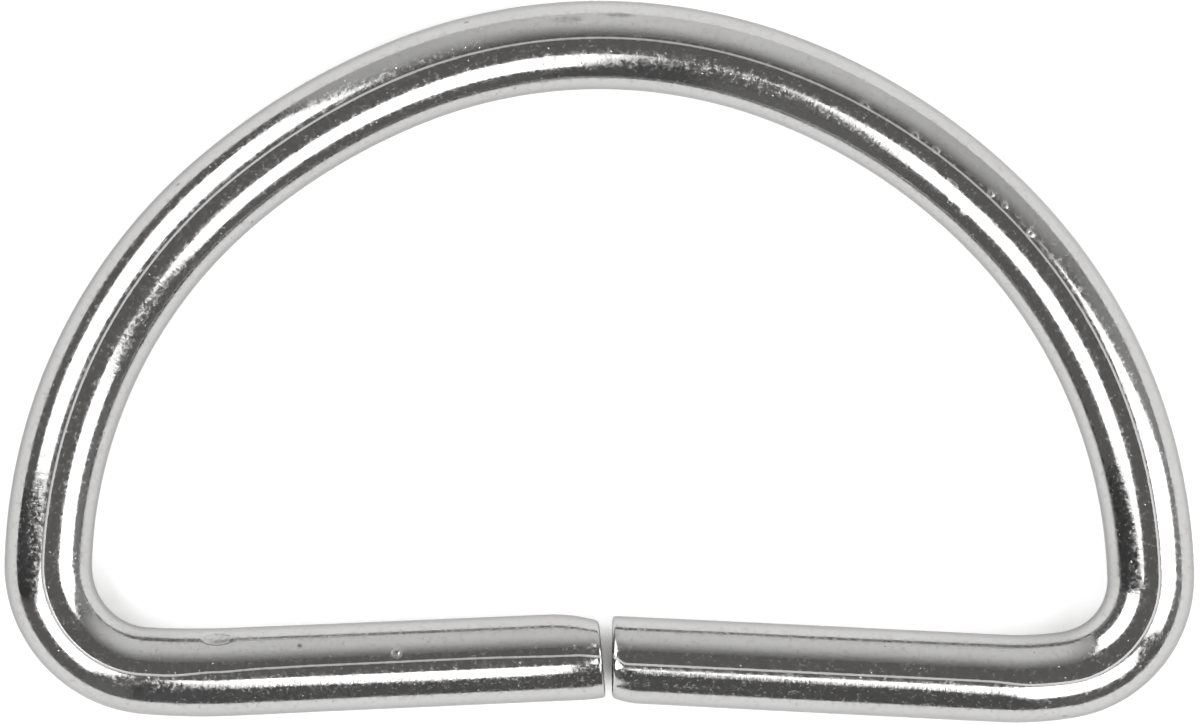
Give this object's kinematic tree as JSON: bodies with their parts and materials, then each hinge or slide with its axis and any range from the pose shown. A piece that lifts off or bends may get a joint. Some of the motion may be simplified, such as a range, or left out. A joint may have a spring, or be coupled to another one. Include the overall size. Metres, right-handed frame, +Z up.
{
  "type": "d ring",
  "caption": "Flat D ring bent from round plated steel wire, with an open butt joint in the middle of its straight strap bar.",
  "frame": {"origin": "on the ground, under the middle of the ring's outline, with the ring lying flat", "axes": "+X along the straight bar, +Y from the bar towards the crown, +Z up through the opening"},
  "size_m": [0.047, 0.0285, 0.0035],
  "materials": {
    "plated_wire": "bright nickel plate over drawn steel wire, with die lines and small pits"
  },
  "bodies": {
    "root": {"wire_ring": "plated_wire"}
  },
  "joints": []
}
